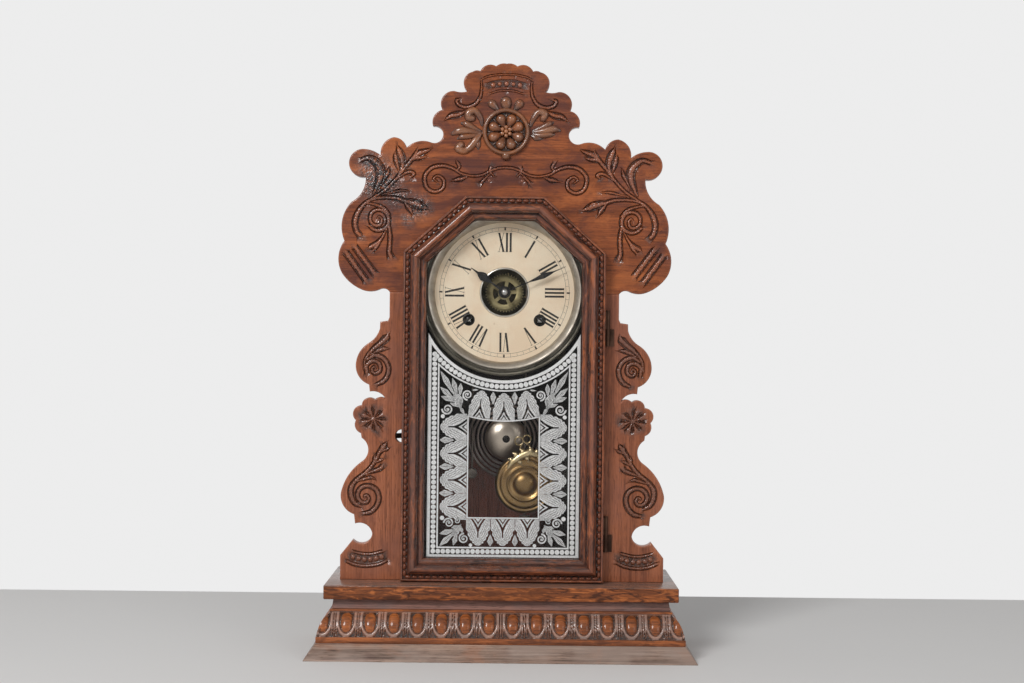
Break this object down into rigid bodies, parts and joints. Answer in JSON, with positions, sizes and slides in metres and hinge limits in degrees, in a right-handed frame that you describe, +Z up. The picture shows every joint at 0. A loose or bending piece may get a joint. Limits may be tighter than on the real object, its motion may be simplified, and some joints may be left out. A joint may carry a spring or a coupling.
{
  "type": "table clock",
  "caption": "Wooden shelf clock with a sawn scroll front, glazed door with cut corners, open-centre dial, spring movement, pendulum and coil gong.",
  "frame": {"origin": "centre of the underside of the base board", "axes": "+Z up, -Y towards the person who reads the dial, +X to their right"},
  "size_m": [0.376, 0.1358, 0.5794],
  "materials": {
    "oak_front": "glossy dark red-brown shellac, worn lighter on the high spots",
    "oak_base": "dark red-brown shellac, worn grey along the foot",
    "oak_door": "dark glossy shellac",
    "case_wood": "plain brown stain",
    "glass": "clear, with a silver stencil on the inside",
    "dial_paper": "aged cream paper on zinc",
    "nickel": "dulled nickel plate",
    "hand_black": "blued black",
    "blued_steel": "dark blued wire",
    "iron": "black japan",
    "bob_brass": "lacquered, turned rings",
    "brass": "satin",
    "steel": "bright drawn"
  },
  "bodies": {
    "case": {"back_plate": "brass", "backboard": "case_wood", "base_board": "oak_base", "base_frieze": "oak_base", "base_neck": "oak_base", "base_shelf": "oak_base", "case_sides": "case_wood", "case_top": "case_wood", "catch_pin": "steel", "crest_leaves": "oak_front", "crest_rosette": "oak_front", "dial_bezel": "nickel", "dial_pan": "dial_paper", "dial_posts": "brass", "dial_rings": "brass", "front_plate": "brass", "gong_base": "iron", "gong_coil": "blued_steel", "gong_dome": "nickel", "headboard": "oak_front", "hinge_leaves_case": "brass", "hinge_pins": "steel", "movement_rails": "case_wood", "movement_screws": "steel", "plate_pillars": "brass", "suspension_stud": "brass", "wing_left": "oak_front", "wing_right": "oak_front"},
    "door": {"door_rails": "oak_door", "door_stiles": "oak_door", "door_corners": "oak_door", "door_glass": "glass", "glass_retainers": "case_wood", "door_tongue": "steel", "hinge_leaves_door": "brass"},
    "catch": {"door_catch": "steel"},
    "minute_hand_body": {"minute_hand": "hand_black", "hand_nut": "steel", "cannon_pinion": "steel"},
    "minute_wheel_body": {"minute_wheel": "brass"},
    "hour_hand_body": {"hour_hand": "hand_black", "hour_wheel": "brass"},
    "time_great_body": {"time_great_wheel": "brass"},
    "time_winder": {"time_winding_arbor": "steel", "time_mainspring": "steel"},
    "second_body": {"second_wheel": "brass"},
    "centre_body": {"centre_wheel": "brass"},
    "third_body": {"third_wheel": "brass"},
    "escape_body": {"escape_wheel": "brass"},
    "strike_great_body": {"strike_great_wheel": "brass"},
    "strike_winder": {"strike_winding_arbor": "steel", "strike_mainspring": "steel"},
    "strike_second_body": {"strike_second_wheel": "brass"},
    "fly_body": {"strike_fly": "steel"},
    "hammer": {"strike_hammer": "steel"},
    "verge_body": {"verge": "steel"},
    "pendulum": {"pendulum_rod": "steel", "pendulum_bob": "bob_brass", "bob_crest": "bob_brass"}
  },
  "joints": [
    {"name": "door_hinge", "type": "hinge", "parent": "case", "child": "door", "pos_m": [0.1016, -0.0188, 0.2195], "axis": [0, 0, 1], "range_deg": [0, 100]},
    {"name": "catch_pivot", "type": "hinge", "parent": "case", "child": "catch", "pos_m": [-0.0966, 0.0183, 0.2202], "axis": [1, 0, 0], "range_deg": [-10, 8]},
    {"name": "minute_hand_turn", "type": "hinge", "parent": "case", "child": "minute_hand_body", "pos_m": [0, 0.0193, 0.354], "axis": [0, 1, 0], "continuous": true},
    {"name": "minute_wheel_turn", "type": "hinge", "parent": "case", "child": "minute_wheel_body", "pos_m": [-0.02031, 0.0193, 0.3657], "axis": [0, 1, 0], "continuous": true},
    {"name": "hour_hand_turn", "type": "hinge", "parent": "case", "child": "hour_hand_body", "pos_m": [0, 0.0193, 0.354], "axis": [0, 1, 0], "continuous": true},
    {"name": "third_wheel_turn", "type": "hinge", "parent": "case", "child": "third_body", "pos_m": [0.00352, 0.0193, 0.3737], "axis": [0, 1, 0], "continuous": true},
    {"name": "centre_wheel_turn", "type": "hinge", "parent": "case", "child": "centre_body", "pos_m": [0, 0.0193, 0.354], "axis": [0, 1, 0], "continuous": true},
    {"name": "second_wheel_turn", "type": "hinge", "parent": "case", "child": "second_body", "pos_m": [0.0207, 0.0193, 0.3506], "axis": [0, 1, 0], "continuous": true},
    {"name": "time_great_turn", "type": "hinge", "parent": "case", "child": "time_great_body", "pos_m": [0.0352, 0.0193, 0.3266], "axis": [0, 1, 0], "continuous": true},
    {"name": "escape_wheel_turn", "type": "hinge", "parent": "case", "child": "escape_body", "pos_m": [0.02207, 0.0193, 0.3805], "axis": [0, 1, 0], "continuous": true},
    {"name": "time_winding", "type": "hinge", "parent": "case", "child": "time_winder", "pos_m": [0.0352, 0.0193, 0.3266], "axis": [0, 1, 0], "continuous": true},
    {"name": "strike_second_turn", "type": "hinge", "parent": "case", "child": "strike_second_body", "pos_m": [-0.03274, 0.0193, 0.35455], "axis": [0, 1, 0], "continuous": true},
    {"name": "strike_great_turn", "type": "hinge", "parent": "case", "child": "strike_great_body", "pos_m": [-0.0352, 0.0193, 0.3266], "axis": [0, 1, 0], "continuous": true},
    {"name": "fly_turn", "type": "hinge", "parent": "case", "child": "fly_body", "pos_m": [-0.0345, 0.0193, 0.37482], "axis": [0, 1, 0], "continuous": true},
    {"name": "strike_winding", "type": "hinge", "parent": "case", "child": "strike_winder", "pos_m": [-0.0352, 0.0193, 0.3266], "axis": [0, 1, 0], "continuous": true},
    {"name": "pendulum_swing", "type": "hinge", "parent": "case", "child": "pendulum", "pos_m": [0.02207, 0.0193, 0.3985], "axis": [0, 1, 0], "range_deg": [-5, 5]},
    {"name": "verge_rock", "type": "hinge", "parent": "case", "child": "verge_body", "pos_m": [0.02207, 0.0193, 0.3985], "axis": [0, 1, 0], "range_deg": [-5, 5]},
    {"name": "hammer_swing", "type": "hinge", "parent": "case", "child": "hammer", "pos_m": [-0.03168, 0.0193, 0.29599], "axis": [0, 1, 0], "range_deg": [-2.5, 6]}
  ],
  "couplings": [
    {"joint": "minute_wheel_turn", "follows": "minute_hand_turn", "ratio": -0.33333},
    {"joint": "hour_hand_turn", "follows": "minute_hand_turn", "ratio": 0.083333},
    {"joint": "centre_wheel_turn", "follows": "third_wheel_turn", "ratio": -0.11111},
    {"joint": "second_wheel_turn", "follows": "third_wheel_turn", "ratio": 0.018519},
    {"joint": "time_great_turn", "follows": "third_wheel_turn", "ratio": -0.0020576},
    {"joint": "escape_wheel_turn", "follows": "third_wheel_turn", "ratio": -10},
    {"joint": "strike_great_turn", "follows": "strike_second_turn", "ratio": -0.11111},
    {"joint": "fly_turn", "follows": "strike_second_turn", "ratio": -7.5},
    {"joint": "verge_rock", "follows": "pendulum_swing", "ratio": 1}
  ]
}
